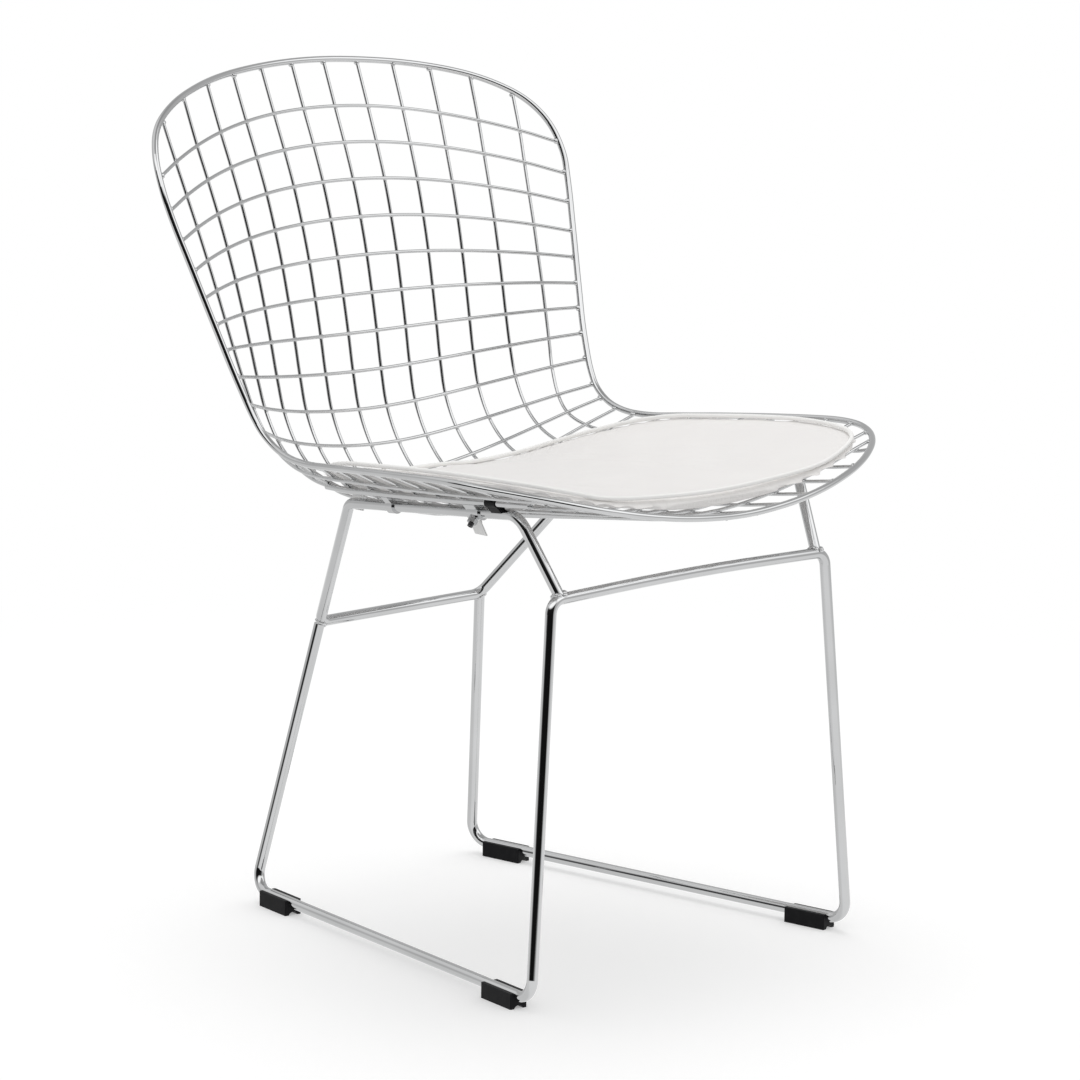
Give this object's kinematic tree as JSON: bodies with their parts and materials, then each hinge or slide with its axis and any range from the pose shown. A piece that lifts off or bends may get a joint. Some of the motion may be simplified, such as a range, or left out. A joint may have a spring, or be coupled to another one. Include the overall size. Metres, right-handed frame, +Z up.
{
  "type": "wire mesh chair",
  "caption": "Dining side chair: a welded chrome wire basket for seat and back on bent rod legs, with a strapped vinyl seat pad.",
  "frame": {"origin": "on the floor, at the middle of the chair's outline seen from above", "axes": "+Z up, -Y towards the front of the seat, +X to one side; x = 0 is the mirror plane"},
  "size_m": [0.505, 0.59, 0.7785],
  "materials": {
    "chrome_rod": "polished",
    "zinc_steel": "satin",
    "black_plastic": "matte moulded",
    "pad_vinyl": "smooth soft vinyl, slight sheen"
  },
  "bodies": {
    "root": {"cross_wire_01": "chrome_rod", "cross_wire_02": "chrome_rod", "cross_wire_03": "chrome_rod", "cross_wire_04": "chrome_rod", "cross_wire_05": "chrome_rod", "cross_wire_06": "chrome_rod", "cross_wire_07": "chrome_rod", "cross_wire_08": "chrome_rod", "cross_wire_09": "chrome_rod", "cross_wire_10": "chrome_rod", "cross_wire_11": "chrome_rod", "cross_wire_12": "chrome_rod", "cross_wire_13": "chrome_rod", "cross_wire_14": "chrome_rod", "cross_wire_15": "chrome_rod", "cross_wire_16": "chrome_rod", "cross_wire_17": "chrome_rod", "cross_wire_18": "chrome_rod", "cross_wire_19": "chrome_rod", "cross_wire_20": "chrome_rod", "cross_wire_21": "chrome_rod", "cross_wire_22": "chrome_rod", "cross_wire_23": "chrome_rod", "front_saddles": "chrome_rod", "front_stretcher": "chrome_rod", "glide_front_left": "black_plastic", "glide_front_right": "black_plastic", "glide_rear_left": "black_plastic", "glide_rear_right": "black_plastic", "long_wire_01": "chrome_rod", "long_wire_02": "chrome_rod", "long_wire_03": "chrome_rod", "long_wire_04": "chrome_rod", "long_wire_05": "chrome_rod", "long_wire_06": "chrome_rod", "long_wire_07": "chrome_rod", "long_wire_08": "chrome_rod", "long_wire_09": "chrome_rod", "long_wire_10": "chrome_rod", "long_wire_11": "chrome_rod", "long_wire_12": "chrome_rod", "pad_piping": "pad_vinyl", "pad_straps": "pad_vinyl", "rail_grips": "black_plastic", "rear_saddles": "chrome_rod", "rear_stretcher": "chrome_rod", "rim_rod": "chrome_rod", "saddle_lock_nuts": "zinc_steel", "saddle_screws": "zinc_steel", "seat_pad": "pad_vinyl", "side_loop_left": "chrome_rod", "side_loop_right": "chrome_rod", "strap_snaps": "zinc_steel", "under_rail_left": "chrome_rod", "under_rail_right": "chrome_rod", "upper_rod_left": "chrome_rod", "upper_rod_right": "chrome_rod"}
  },
  "joints": []
}
